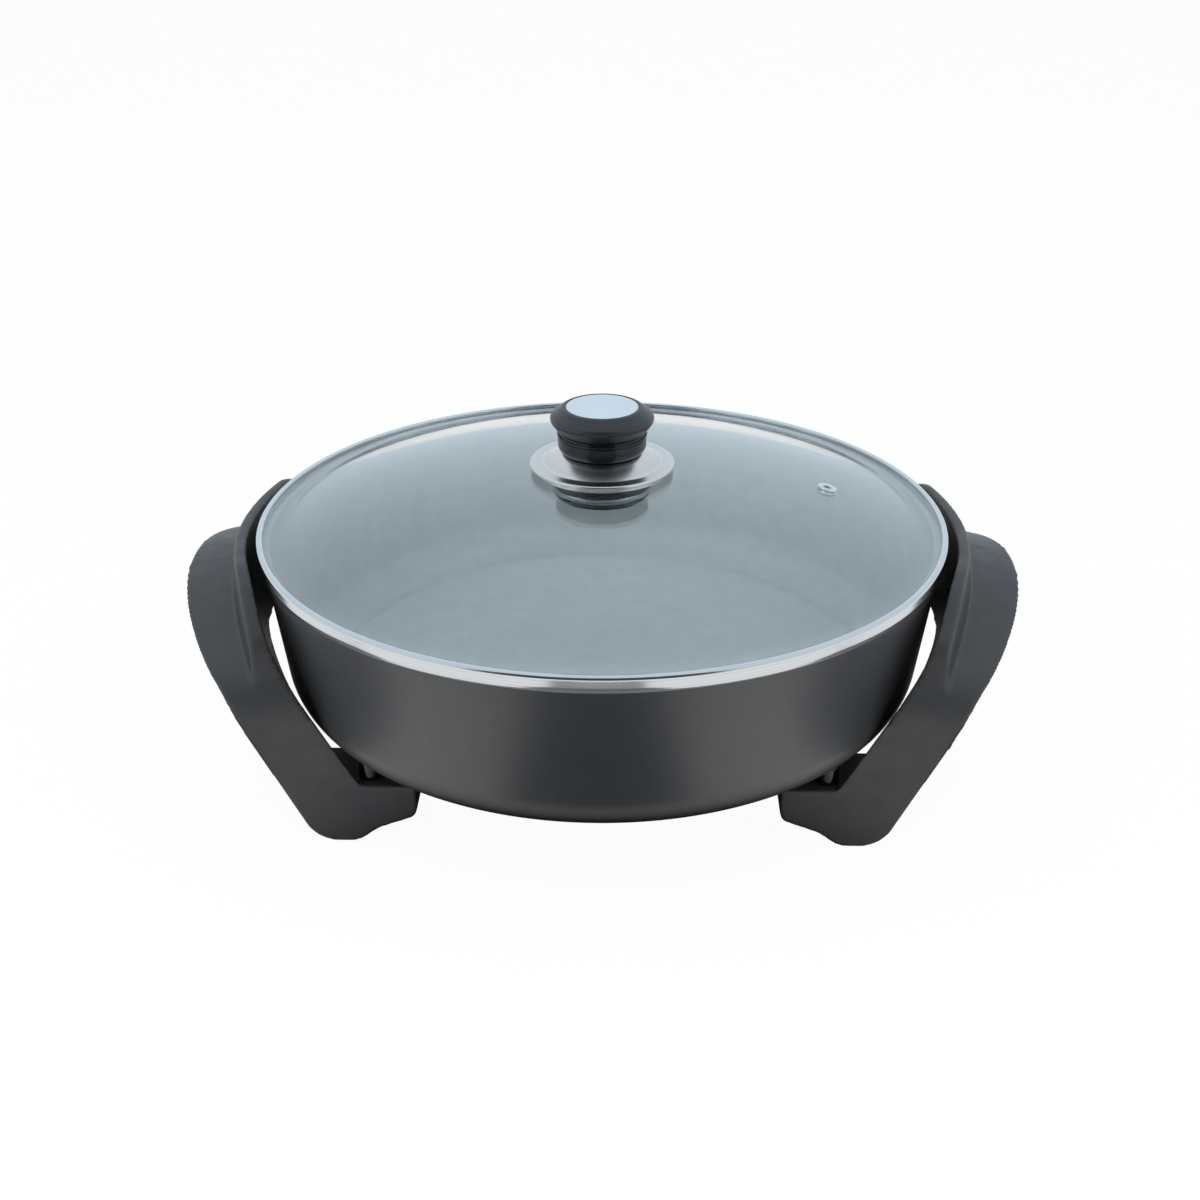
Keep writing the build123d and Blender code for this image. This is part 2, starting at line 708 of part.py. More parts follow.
def make_vent_eyelet():
    low = -glass_thickness - seat_fit
    eyelet = turned(
        [(vent_hole_radius, low - vent_flange), (vent_outer_radius, low - vent_flange),
         (vent_outer_radius, low), (vent_shank_radius, low), (vent_shank_radius, seat_fit),
         (vent_outer_radius, seat_fit), (vent_outer_radius, seat_fit + vent_flange),
         (vent_hole_radius, seat_fit + vent_flange)],
        [edge_break, edge_break, 0, 0, 0, 0, vent_flange_round, vent_flange_round])
    return vent_plane() * eyelet


def make_knob_plate():
    skirt_outer = plate_radius - plate_skirt_inset
    skirt_inner = skirt_outer - plate_sheet
    edge_low = glass_top(skirt_inner) + seat_fit
    top = edge_low + plate_height
    rim_low = top - plate_rim_thickness
    rim_inner = plate_radius - plate_rim_width
    dish_radius = rim_inner - plate_slope_width
    sheet = plate_sheet
    hub_foot = plate_hub_radius + plate_hub_slope
    return turned(
        [(knob_bore, plate_hub_base), (plate_hub_radius, plate_hub_base),
         (hub_foot, knob_plate_base), (dish_radius, knob_plate_base),
         (rim_inner, top - sheet), (skirt_inner, top - sheet), (skirt_inner, edge_low),
         (skirt_outer, edge_low), (skirt_outer, rim_low), (plate_radius, rim_low),
         (plate_radius, top), (rim_inner - sheet / 2, top),
         (dish_radius - sheet / 2, knob_plate_base + sheet),
         (hub_foot + sheet / 2, knob_plate_base + sheet),
         (plate_hub_radius + sheet / 2, stem_base), (knob_bore, stem_base)],
        [0, plate_hub_bend, plate_hub_bend, plate_dish_bend, plate_rim_bend, 0, 0, 0, 0, edge_break,
         plate_edge_round, plate_rim_bend, plate_dish_bend, plate_hub_bend, plate_hub_bend, 0])


def make_knob_stem():
    top = stem_base + stem_height
    groove_inner = stem_radius - collar_groove_depth
    groove_low = top - collar_groove
    collar_radius = stem_radius + collar_proud
    collar_top = cap_base - collar_groove
    return turned(
        [(knob_bore, stem_base), (stem_radius, stem_base), (stem_radius, groove_low),
         (groove_inner, groove_low), (groove_inner, top), (collar_radius, top),
         (collar_radius, collar_top), (groove_inner, collar_top), (groove_inner, cap_base),
         (knob_bore, cap_base)],
        [0, stem_bottom_round, edge_break, 0, 0, edge_break, edge_break, 0, 0, 0])


def make_knob_cap():
    top = cap_base + cap_height
    widest = cap_base + cap_widest_height
    lip = disc_radius + disc_lip
    bulge_r = (cap_radius + lip) / 2 + cap_shoulder_bulge
    bulge_z = (widest + top) / 2 + cap_shoulder_bulge
    recess = disc_radius + screw_fit
    section = make_face(Wire([
        Line((0, cap_base), (cap_base_radius, cap_base)),
        ThreePointArc((cap_base_radius, cap_base),
                      ((cap_base_radius + cap_radius) / 2 + cap_shoulder_bulge,
                       (cap_base + widest) / 2 - cap_shoulder_bulge), (cap_radius, widest)),
        ThreePointArc((cap_radius, widest), (bulge_r, bulge_z), (lip, top)),
        Line((lip, top), (recess, top)),
        Line((recess, top), (recess, top - disc_thickness)),
        Line((recess, top - disc_thickness), (0, top - disc_thickness)),
        Line((0, top - disc_thickness), (0, cap_base))]))
    cap = revolve(Plane.XZ * section, Axis.Z)
    return cap - rod(knob_screw_radius + screw_fit, cap_base, cap_base + cap_thread_length + blind_margin)


def make_knob_disc():
    top = cap_base + cap_height
    return turned([(0, top - disc_thickness), (disc_radius, top - disc_thickness),
                   (disc_radius, top), (0, top)], [0, 0, edge_break, 0])


def make_upper_seal():
    blank = tube(seal_radius, knob_bore, glass_top(seal_radius) - glass_thickness / 2, plate_hub_base)
    ball = Pos(0, 0, crown_height - glass_sphere) * Sphere(glass_sphere + seat_fit)
    return blank - ball


def make_lower_seal():
    low = knob_seat_top
    blank = tube(seal_radius, knob_bore, low - glass_thickness / 2, glass_below)
    inner_sphere = glass_sphere - glass_thickness
    ball = Pos(0, 0, crown_height - glass_sphere) * Sphere(inner_sphere - seat_fit)
    shell = Pos(0, 0, crown_height - glass_sphere - seal_thickness) * Sphere(inner_sphere)
    return (blank & ball) - shell


def make_knob_seat():
    ring_seat = seat_radius + seat_ring_proud - seat_ring_width
    shoulder = knob_seat_base + seat_ring_lift
    seat = turned(
        [(0, knob_seat_base), (seat_radius, knob_seat_base), (seat_radius, shoulder),
         (ring_seat, shoulder), (ring_seat, glass_below), (0, glass_below)],
        [0, seat_bottom_round, edge_break, 0, 0, 0])
    ball = Pos(0, 0, crown_height - glass_sphere - seal_thickness) * Sphere(glass_sphere - glass_thickness)
    seat &= ball
    seat -= rod(knob_head_radius + 2 * hole_fit, knob_seat_base, knob_screw_seat)
    return seat - rod(knob_bore, knob_screw_seat, glass_below)


def make_knob_seat_ring():
    low = knob_seat_base + seat_ring_lift
    outer = seat_radius + seat_ring_proud
    return turned(
        [(outer - seat_ring_width + screw_fit, low), (outer, low), (outer, low + seat_ring_height),
         (outer - seat_ring_width + screw_fit, low + seat_ring_height)],
        [0, edge_break, edge_break, 0])


def make_knob_screw():
    length = cap_base + cap_thread_length - knob_screw_seat
    return upward_screw(knob_screw_radius, knob_head_radius, knob_head_height, knob_screw_seat, length)


# Files -------------------------------------------------------------------------------

right_handle = make_right_handle()
nodes = {
    "pan": make_pan(),
    "heating_plate": make_heating_plate(),
    "heating_element": along_element(tube_radius),
    "element_clamps": make_clamps(),
    "clamp_screws": make_clamp_screws(),
    "base_plate": make_base_plate(),
    "base_plate_screws": make_base_screws(),
    "socket_shroud": make_socket_shroud(),
    "socket_screws": make_socket_screws(),
    "terminal_pins": make_terminal_pins(),
    "pin_insulators": make_pin_insulators(),
    "probe_tube": make_probe_tube(),
    "earth_contact": make_earth_contact(),
    "right_handle": right_handle,
    "left_handle": right_handle.mirror(Plane.YZ),
    "leg_spacers": make_leg_spacers(),
    "leg_washers": make_leg_washers(),
    "leg_screws": make_leg_screws(),
    "foot_pads": make_foot_pads(),
    "lid_glass": make_lid_glass(),
    "lid_rim": make_lid_rim(),
    "vent_eyelet": make_vent_eyelet(),
    "knob_plate": make_knob_plate(),
    "knob_stem": make_knob_stem(),
    "knob_cap": make_knob_cap(),
    "knob_disc": make_knob_disc(),
    "upper_seal": make_upper_seal(),
    "lower_seal": make_lower_seal(),
    "knob_seat": make_knob_seat(),
    "knob_seat_ring": make_knob_seat_ring(),
    "knob_screw": make_knob_screw(),
}

os.makedirs("parts", exist_ok=True)
for name, shape in nodes.items():
    pieces = shape if isinstance(shape, list) else [shape]
    whole = Compound([solid for piece in pieces for solid in piece.solids()])
    export_step(whole, f"parts/{name}.step")
    print(name, len(whole.solids()), "solids", round(whole.volume), "mm3")
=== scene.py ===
from math import asin, atan2, cos, pi, radians, sin, sqrt, tan

import bmesh
import bpy
from mathutils import Matrix, Vector


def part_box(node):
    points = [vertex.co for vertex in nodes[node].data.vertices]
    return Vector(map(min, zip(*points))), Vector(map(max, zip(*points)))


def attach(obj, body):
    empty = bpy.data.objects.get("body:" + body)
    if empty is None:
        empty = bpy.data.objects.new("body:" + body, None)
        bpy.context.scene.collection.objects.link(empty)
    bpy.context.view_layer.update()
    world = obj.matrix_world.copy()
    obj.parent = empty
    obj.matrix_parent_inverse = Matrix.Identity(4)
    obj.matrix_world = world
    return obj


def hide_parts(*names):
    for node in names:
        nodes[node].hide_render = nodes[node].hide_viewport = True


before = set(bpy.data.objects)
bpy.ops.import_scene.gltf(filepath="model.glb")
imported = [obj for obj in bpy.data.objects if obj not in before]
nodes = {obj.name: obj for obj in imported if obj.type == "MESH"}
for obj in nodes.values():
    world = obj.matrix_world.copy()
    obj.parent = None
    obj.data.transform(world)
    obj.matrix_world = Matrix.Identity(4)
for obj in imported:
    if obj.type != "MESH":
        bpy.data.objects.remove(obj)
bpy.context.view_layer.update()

mm = 0.001
print("frame loaded:", len(nodes), "nodes")


def srgb(hexCode):  # a written colour, made linear
    parts = [int(hexCode[i:i + 2], 16) / 255 for i in (1, 3, 5)]
    return tuple(c / 12.92 if c <= 0.04045 else ((c + 0.055) / 1.055) ** 2.4 for c in parts) + (1.0,)


def addNode(tree, kind, settings=None, inputs=None):  # one node with its settings, values and links
    node = tree.nodes.new(kind)
    for name, value in (settings or {}).items():
        setattr(node, name, value)
    for name, value in (inputs or {}).items():
        if isinstance(value, bpy.types.NodeSocket):
            tree.links.new(value, node.inputs[name])
        else:
            node.inputs[name].default_value = value
    return node


def newMaterial(name):
    material = bpy.data.materials.new(name)
    material.use_nodes = True
    material.node_tree.nodes.clear()
    return material, material.node_tree


# Finishes. Sizes are in millimetres: a cloud is one soft blotch, a grain one bump of the surface.

noise = {
    "low": 0.3, "high": 0.7,  # the part of a noise's range that is used
    "cloudDetail": 3.0, "cloudRoughness": 0.55, "wearShare": 0.4, "wearDetail": 2.0,
    "grainDetail": 2.0, "grainRoughness": 0.6, "ringDetail": 3.0, "ringRoughness": 0.7,
}


def cloudyFinish(name, look):
    material, tree = newMaterial(name)
    place = addNode(tree, "ShaderNodeTexCoord").outputs["Object"]
    clouds = addNode(tree, "ShaderNodeTexNoise", inputs={
        "Vector": place, "Scale": 1 / (look["cloud"] * mm), "Detail": noise["cloudDetail"],
        "Roughness": noise["cloudRoughness"]})
    blend = addNode(tree, "ShaderNodeMapRange", inputs={
        "Value": clouds.outputs["Fac"], "From Min": noise["low"], "From Max": noise["high"]})
    shade = addNode(tree, "ShaderNodeMix", {"data_type": "RGBA"}, {
        0: blend.outputs[0], 6: srgb(look["colour"]), 7: srgb(look["darker"])})
    wear = addNode(tree, "ShaderNodeTexNoise", inputs={
        "Vector": place, "Scale": 1 / (look["cloud"] * noise["wearShare"] * mm),
        "Detail": noise["wearDetail"]})
    rough = addNode(tree, "ShaderNodeMapRange", inputs={
        "Value": wear.outputs["Fac"], "From Min": noise["low"], "From Max": noise["high"],
        "To Min": look["roughness"][0], "To Max": look["roughness"][1]})
    grains = addNode(tree, "ShaderNodeTexNoise", inputs={
        "Vector": place, "Scale": 1 / (look["grain"] * mm), "Detail": noise["grainDetail"],
        "Roughness": noise["grainRoughness"]})
    relief = addNode(tree, "ShaderNodeBump", inputs={
        "Height": grains.outputs["Fac"], "Distance": look["depth"] * mm})
    shader = addNode(tree, "ShaderNodeBsdfPrincipled", inputs={
        "Base Color": shade.outputs[2], "Roughness": rough.outputs[0], "Normal": relief.outputs[0],
        **look["kind"]})
    addNode(tree, "ShaderNodeOutputMaterial", inputs={"Surface": shader.outputs[0]})
    return material


def turnedFinish(name, look):  # brushed or polished on a lathe, so that its lines run in rings
    material, tree = newMaterial(name)
    place = addNode(tree, "ShaderNodeTexCoord").outputs["Object"]
    axes = addNode(tree, "ShaderNodeSeparateXYZ", inputs={0: place})
    flat = addNode(tree, "ShaderNodeCombineXYZ", inputs={0: axes.outputs[0], 1: axes.outputs[1]})
    radius = addNode(tree, "ShaderNodeVectorMath", {"operation": "LENGTH"}, {0: flat.outputs[0]})
    across = addNode(tree, "ShaderNodeCombineXYZ", inputs={0: radius.outputs["Value"], 1: axes.outputs[2]})
    rings = addNode(tree, "ShaderNodeTexNoise", inputs={
        "Vector": across.outputs[0], "Scale": 1 / (look["line"] * mm), "Detail": noise["ringDetail"],
        "Roughness": noise["ringRoughness"]})
    blend = addNode(tree, "ShaderNodeMapRange", inputs={
        "Value": rings.outputs["Fac"], "From Min": noise["low"], "From Max": noise["high"]})
    shade = addNode(tree, "ShaderNodeMix", {"data_type": "RGBA"}, {
        0: blend.outputs[0], 6: srgb(look["colour"]), 7: srgb(look["darker"])})
    rough = addNode(tree, "ShaderNodeMapRange", inputs={
        "Value": rings.outputs["Fac"], "From Min": noise["low"], "From Max": noise["high"],
        "To Min": look["roughness"][0], "To Max": look["roughness"][1]})
    relief = addNode(tree, "ShaderNodeBump", inputs={
        "Height": rings.outputs["Fac"], "Distance": look["depth"] * mm})
    tangent = addNode(tree, "ShaderNodeTangent", {"direction_type": "RADIAL", "axis": "Z"})
    shader = addNode(tree, "ShaderNodeBsdfPrincipled", inputs={
        "Base Color": shade.outputs[2], "Roughness": rough.outputs[0], "Normal": relief.outputs[0],
        "Tangent": tangent.outputs[0], "Metallic": 1.0, "Anisotropic": look["anisotropy"]})
    addNode(tree, "ShaderNodeOutputMaterial", inputs={"Surface": shader.outputs[0]})
    return material


glassLook = {"colour": "#eef7fa", "index": 1.52, "wave": 60.0, "depth": 0.03}


def temperedGlass():  # fire-polished: clear, cold and sharp, its images bent by tempering's slow wave
    material, tree = newMaterial("temperedSodaLimeGlass")
    place = addNode(tree, "ShaderNodeTexCoord").outputs["Object"]
    wave = addNode(tree, "ShaderNodeTexNoise", inputs={
        "Vector": place, "Scale": 1 / (glassLook["wave"] * mm), "Detail": 1.0})
    relief = addNode(tree, "ShaderNodeBump", inputs={
        "Height": wave.outputs["Fac"], "Distance": glassLook["depth"] * mm})
    shader = addNode(tree, "ShaderNodeBsdfPrincipled", inputs={
        "Base Color": srgb(glassLook["colour"]), "Roughness": 0.0, "IOR": glassLook["index"],
        "Transmission Weight": 1.0, "Normal": relief.outputs[0]})
    addNode(tree, "ShaderNodeOutputMaterial", inputs={"Surface": shader.outputs[0]})
    return material


# What each kind of material sets on the shader itself
metal, fluoropolymer, phenolic = {"Metallic": 1.0}, {"IOR": 1.36}, {"IOR": 1.6}
rubber, ceramic = {"IOR": 1.52}, {"IOR": 1.63}
lacquered = {"IOR": 1.5, "Coat Weight": 1.0, "Coat IOR": 1.5, "Coat Roughness": 0.36}

cloudyLooks = {
    # sprayed and baked: near black with a low sheen, its orange peel drawn twice as wide as real
    "nonStickCoatOutside": {
        "colour": "#1a1b1e", "darker": "#16171a", "roughness": (0.42, 0.48), "cloud": 9.0,
        "grain": 1.2, "depth": 0.03, "kind": lacquered},
    # with mica in the spray: a light matt grey that blurs all it mirrors
    "nonStickCoatInside": {
        "colour": "#919495", "darker": "#898c8d", "roughness": (0.6, 0.7), "cloud": 9.0,
        "grain": 2.4, "depth": 0.002, "kind": fluoropolymer},
    # from a spark-eroded mould: charcoal, dulled by a fine grain that is drawn twice as wide as real
    "texturedPhenolic": {
        "colour": "#28282a", "darker": "#2c2b2b", "roughness": (0.42, 0.52), "cloud": 22.0,
        "grain": 1.1, "depth": 0.035, "kind": phenolic},
    # from a stoned mould: an even black with a soft sheen
    "satinPhenolic": {
        "colour": "#141517", "darker": "#111214", "roughness": (0.36, 0.42), "cloud": 6.0,
        "grain": 0.8, "depth": 0.008, "kind": phenolic},
    # from a polished mould: deep black with sharp highlights
    "polishedPhenolic": {
        "colour": "#090909", "darker": "#070707", "roughness": (0.07, 0.1), "cloud": 6.0,
        "grain": 0.8, "depth": 0.003, "kind": phenolic},
    # the same with a bluer dye, its images slightly blurred
    "polishedBluePhenolic": {
        "colour": "#090a0c", "darker": "#07080a", "roughness": (0.1, 0.15), "cloud": 6.0,
        "grain": 0.8, "depth": 0.004, "kind": phenolic},
    # filled with carbon black: dull, with broad weak highlights
    "mouldedRubber": {
        "colour": "#19191a", "darker": "#141415", "roughness": (0.65, 0.78), "cloud": 6.0,
        "grain": 1.2, "depth": 0.03, "kind": rubber},
    # filled and pressed: a milky grey, waxy to the eye
    "pressedSilicone": {
        "colour": "#a9adad", "darker": "#989c9c", "roughness": (0.45, 0.55), "cloud": 6.0,
        "grain": 0.9, "depth": 0.01, "kind": rubber},
    # fired without a glaze: a warm off-white that looks dry
    "firedSteatite": {
        "colour": "#e6e1d4", "darker": "#d9d3c4", "roughness": (0.4, 0.5), "cloud": 5.0,
        "grain": 1.5, "depth": 0.02, "kind": ceramic},
    # barrel plated: grey with cloudy, restless highlights
    "zincPlatedSteel": {
        "colour": "#b9bbb8", "darker": "#9a9c99", "roughness": (0.25, 0.36), "cloud": 4.0,
        "grain": 0.9, "depth": 0.01, "kind": metal},
    # plated over turned metal: a warm grey with clear highlights
    "nickelPlatedBrass": {
        "colour": "#cfc9bd", "darker": "#b3ada2", "roughness": (0.16, 0.24), "cloud": 5.0,
        "grain": 0.9, "depth": 0.006, "kind": metal},
    # drawn through a die: a cool grey with clean, long highlights
    "drawnStainlessTube": {
        "colour": "#c4c6c8", "darker": "#a6a8aa", "roughness": (0.2, 0.3), "cloud": 6.0,
        "grain": 0.9, "depth": 0.008, "kind": metal},
    # spun from bright sheet: pale, its highlights blurred and wide
    "spunStainlessSheet": {
        "colour": "#e4e5e5", "darker": "#d2d3d3", "roughness": (0.3, 0.38), "cloud": 3.0,
        "grain": 0.6, "depth": 0.006, "kind": metal},
    # heated in air: a brownish, dull grey that glints only weakly
    "oxidisedSteelSheath": {
        "colour": "#5c5852", "darker": "#46423d", "roughness": (0.38, 0.52), "cloud": 7.0,
        "grain": 0.9, "depth": 0.01, "kind": metal},
    # as it leaves the mould: pale, its highlights broken by the skin's grain
    "bareAluminiumCasting": {
        "colour": "#a9aaaa", "darker": "#949595", "roughness": (0.42, 0.55), "cloud": 5.0,
        "grain": 1.3, "depth": 0.04, "kind": metal},
    # rolled and washed: broad clouds of brighter and duller metal
    "rolledAluminiumSheet": {
        "colour": "#c9cacb", "darker": "#b0b1b2", "roughness": (0.26, 0.38), "cloud": 14.0,
        "grain": 0.9, "depth": 0.01, "kind": metal},
}

turnedLooks = {  # the lines are drawn about twice as wide as real ones, which are too fine to show
    # polished on a lathe: near a mirror, with faint rings
    "polishedSteelBand": {
        "colour": "#dde0e2", "darker": "#c9ccce", "roughness": (0.12, 0.18), "line": 0.6,
        "depth": 0.006, "anisotropy": 0.2},
    # brushed while turning: the light stretches into a fan across the rings
    "brushedSteelPlate": {
        "colour": "#e2dfdc", "darker": "#cdcac6", "roughness": (0.2, 0.28), "line": 0.35,
        "depth": 0.004, "anisotropy": 0.5},
    # turned with a fine tool: an even, pale silver
    "satinSteelDisc": {
        "colour": "#eaf0f3", "darker": "#dce2e6", "roughness": (0.3, 0.38), "line": 0.35,
        "depth": 0.006, "anisotropy": 0.3},
}

finishes = {name: cloudyFinish(name, look) for name, look in cloudyLooks.items()}
finishes.update({name: turnedFinish(name, look) for name, look in turnedLooks.items()})
finishes["temperedGlass"] = temperedGlass()
print("finishes made:", len(finishes))


# Turning: a profile is swept round the upright axis. The path is a ring, and the profile stands off it.

turning = {
    "pathRadius": 0.1, "join": 0.00001,  # metres, the others are millimetres
    "segments": 256, "stepDegrees": 9.0, "margin": 0.35, "longStraight": 3,
}


def turningTree():
    tree = bpy.data.node_groups.new("turnProfile", "GeometryNodeTree")
    face = tree.interface
    face.new_socket("Geometry", in_out="OUTPUT", socket_type="NodeSocketGeometry")
    face.new_socket("Profile", in_out="INPUT", socket_type="NodeSocketGeometry")
    face.new_socket("Segments", in_out="INPUT", socket_type="NodeSocketInt")
    face.new_socket("Path Radius", in_out="INPUT", socket_type="NodeSocketFloat")
    face.new_socket("Finish", in_out="INPUT", socket_type="NodeSocketMaterial")
    given = addNode(tree, "NodeGroupInput").outputs
    profile = addNode(tree, "GeometryNodeMeshToCurve", inputs={"Mesh": given["Profile"]})
    path = addNode(tree, "GeometryNodeCurvePrimitiveCircle", inputs={
        "Resolution": given["Segments"], "Radius": given["Path Radius"]})
    upright = addNode(tree, "GeometryNodeSetCurveNormal", {"mode": "Z_UP"}, {"Curve": path.outputs[0]})
    swept = addNode(tree, "GeometryNodeCurveToMesh", inputs={
        "Curve": upright.outputs[0], "Profile Curve": profile.outputs[0]})
    joined = addNode(tree, "GeometryNodeMergeByDistance", inputs={
        "Geometry": swept.outputs[0], "Distance": turning["join"]})
    smooth = addNode(tree, "GeometryNodeSetShadeSmooth", inputs={"Geometry": joined.outputs[0]})
    real = addNode(tree, "GeometryNodeRealizeInstances", inputs={"Geometry": smooth.outputs[0]})
    finish = addNode(tree, "GeometryNodeSetMaterial", inputs={
        "Geometry": real.outputs[0], "Material": given["Finish"]})
    addNode(tree, "NodeGroupOutput", inputs={0: finish.outputs[0]})
    return tree


def copiesTree():  # a piece's own mesh, set out on a rectangle's corners; with no depth they are two
    tree = bpy.data.node_groups.new("setOutCopies", "GeometryNodeTree")
    face = tree.interface
    face.new_socket("Geometry", in_out="OUTPUT", socket_type="NodeSocketGeometry")
    face.new_socket("Piece", in_out="INPUT", socket_type="NodeSocketGeometry")
    face.new_socket("Width", in_out="INPUT", socket_type="NodeSocketFloat")
    face.new_socket("Depth", in_out="INPUT", socket_type="NodeSocketFloat")
    face.new_socket("Shift", in_out="INPUT", socket_type="NodeSocketVector")
    face.new_socket("Finish", in_out="INPUT", socket_type="NodeSocketMaterial")
    given = addNode(tree, "NodeGroupInput").outputs
    corners = addNode(tree, "GeometryNodeMeshGrid", inputs={
        "Size X": given["Width"], "Size Y": given["Depth"], "Vertices X": 2, "Vertices Y": 2})
    places = addNode(tree, "GeometryNodeMergeByDistance", inputs={
        "Geometry": corners.outputs[0], "Distance": turning["join"]})
    shifted = addNode(tree, "GeometryNodeTransform", inputs={
        "Geometry": places.outputs[0], "Translation": given["Shift"]})
    copies = addNode(tree, "GeometryNodeInstanceOnPoints", inputs={
        "Points": shifted.outputs[0], "Instance": given["Piece"]})
    real = addNode(tree, "GeometryNodeRealizeInstances", inputs={"Geometry": copies.outputs[0]})
    finish = addNode(tree, "GeometryNodeSetMaterial", inputs={
        "Geometry": real.outputs[0], "Material": given["Finish"]})
    addNode(tree, "NodeGroupOutput", inputs={0: finish.outputs[0]})
    return tree


treeTurning = turningTree()
treeCopies = copiesTree()


def linkMesh(name, mesh):
    piece = bpy.data.objects.new(name, mesh)
    bpy.context.scene.collection.objects.link(piece)
    return piece


def bakeModifiers(piece):
    ready = piece.evaluated_get(bpy.context.evaluated_depsgraph_get())
    mesh = bpy.data.meshes.new_from_object(ready)
    piece.modifiers.clear()
    piece.data = mesh
    return piece


def bakeNodes(piece, tree, inputs):
    modifier = piece.modifiers.new(tree.name, "NODES")
    modifier.node_group = tree
    for item in tree.interface.items_tree:
        if item.in_out == "INPUT" and item.name in inputs:
            modifier[item.identifier] = inputs[item.name]
    return bakeModifiers(piece)


def pointOutwards(mesh):
    work = bmesh.new()
    work.from_mesh(mesh)
    bmesh.ops.recalc_face_normals(work, faces=work.faces)
    work.to_mesh(mesh)
    work.free()


def joinPieces(first, *others):
    work = bmesh.new()
    for piece in (first, *others):
        work.from_mesh(piece.data)
    work.to_mesh(first.data)
    work.free()
    for piece in others:
        bpy.data.objects.remove(piece)
    return first


def roundedOutline(corners, stepDegrees):  # corners are (across, up, round) in millimetres
    points = []
    for i, (x, y, radius) in enumerate(corners):
        here = Vector((x, y))
        if not radius:
            points.append(here)
            continue
        before = (Vector(corners[i - 1][:2]) - here).normalized()
        after = (Vector(corners[(i + 1) % len(corners)][:2]) - here).normalized()
        half = before.angle(after) / 2
        start, end = here + before * radius / tan(half), here + after * radius / tan(half)
        centre = here + (before + after).normalized() * radius / sin(half)
        first = atan2(start.y - centre.y, start.x - centre.x)
        turn = (atan2(end.y - centre.y, end.x - centre.x) - first + pi) % (2 * pi) - pi
        steps = max(2, round(abs(turn) / radians(stepDegrees)))
        points += [centre + Vector((cos(first + turn * k / steps), sin(first + turn * k / steps))) * radius
                   for k in range(steps + 1)]
    return points


def heldFlats(points, closed, margin):  # points near both ends of a long straight keep its shading flat
    held = []
    last = len(points) if closed else len(points) - 1
    for i, here in enumerate(points):
        held.append(here)
        if i >= last:
            continue
        step = points[(i + 1) % len(points)] - here
        if step.length > margin * turning["longStraight"]:
            held += [here + step * (margin / step.length), here + step * (1 - margin / step.length)]
    return held


def turnPiece(name, corners, finish, closed=True, stepDegrees=turning["stepDegrees"],
              segments=turning["segments"], margin=turning["margin"]):
    points = heldFlats(roundedOutline(corners, stepDegrees), closed, margin)
    path = turning["pathRadius"]
    count = len(points)
    edges = [(i, i + 1) for i in range(count - 1)] + ([(count - 1, 0)] if closed else [])
    mesh = bpy.data.meshes.new(name)
    mesh.from_pydata([(p.x * mm - path, -p.y * mm, 0) for p in points], edges, [])
    piece = bakeNodes(linkMesh(name, mesh), treeTurning, {
        "Segments": segments, "Path Radius": path, "Finish": finishes[finish]})
    pointOutwards(piece.data)
    return piece


def setOut(piece, finish, width, depth, shift=(0.0, 0.0, 0.0)):
    return bakeNodes(piece, treeCopies, {
        "Finish": finishes[finish], "Width": width * mm, "Depth": depth * mm,
        "Shift": [value * mm for value in shift]})


def nodeBox(name):  # a CAD node's lowest and highest corners, in millimetres
    low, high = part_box(name)
    return low / mm, high / mm


def dress(piece, body, *replaced):
    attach(piece, body)
    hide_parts(*replaced)


# Pan: one casting, with bosses for the leg screws and for the inlet's screws

pan = {
    "wall": 4.4, "floor": 5.0, "taper": 0.136, "footRound": 28.0, "innerRound": 22.0,
    "beadHeight": 6.5, "beadProud": 0.7, "beadRound": 0.35, "beadRootRound": 0.3, "lipRound": 1.2,
    "segments": 384, "stepDegrees": 4.0, "margin": 0.5, "coatLean": 0.3,
    "legBoss": 7.0, "legHole": 2.55, "legWidth": 232.0, "legDepth": 178.0, "legRoot": 7.0,
    "lugBoss": 5.0, "lugHole": 2.05, "lugWidth": 71.0, "lugPlace": 126.0, "lugLow": 45.6, "lugRoot": 2.0,
    "holeRound": 0.3, "bossRound": 0.8, "bossFlare": 0.3, "bossSegments": 48,
}


def makeBowl():
    lip, lipOuter = nodeBox("pan")[1].z, nodeBox("pan")[1].x
    low = nodeBox("heating_plate")[1].z
    taper, wall, proud = pan["taper"], pan["wall"], pan["beadProud"]
    foot = lipOuter - proud - taper * (lip - low)
    beadLow = lip - pan["beadHeight"]
    underBead = foot + taper * (beadLow - low)
    floorTop = low + pan["floor"]
    corners = [
        (0, floorTop, 0), (foot + taper * pan["floor"] - wall, floorTop, pan["innerRound"]),
        (lipOuter - proud - wall, lip, pan["lipRound"]), (lipOuter, lip, pan["lipRound"]),
        (underBead + proud, beadLow, pan["beadRound"]), (underBead, beadLow, pan["beadRootRound"]),
        (foot, low, pan["footRound"]), (0, low, 0)]
    bowl = turnPiece("pan", corners, "nonStickCoatOutside", False, pan["stepDegrees"],
                     pan["segments"], pan["margin"])
    bowl.data.materials.append(finishes["nonStickCoatInside"])
    lean = pan["coatLean"]
    for face in bowl.data.polygons:  # the lighter coat lies where the casting faces up or inwards
        across = Vector((face.center.x, face.center.y, 0)).normalized()
        face.material_index = 1 if face.normal.z > lean or face.normal.dot(across) < -lean else 0
    return bowl


def makeBosses(name, radius, hole, low, root):
    corners = [(hole, low, pan["holeRound"]), (radius, low, pan["bossRound"]),
               (radius + pan["bossFlare"], low + root, 0), (hole, low + root, 0)]
    return turnPiece(name, corners, "nonStickCoatOutside", segments=pan["bossSegments"])


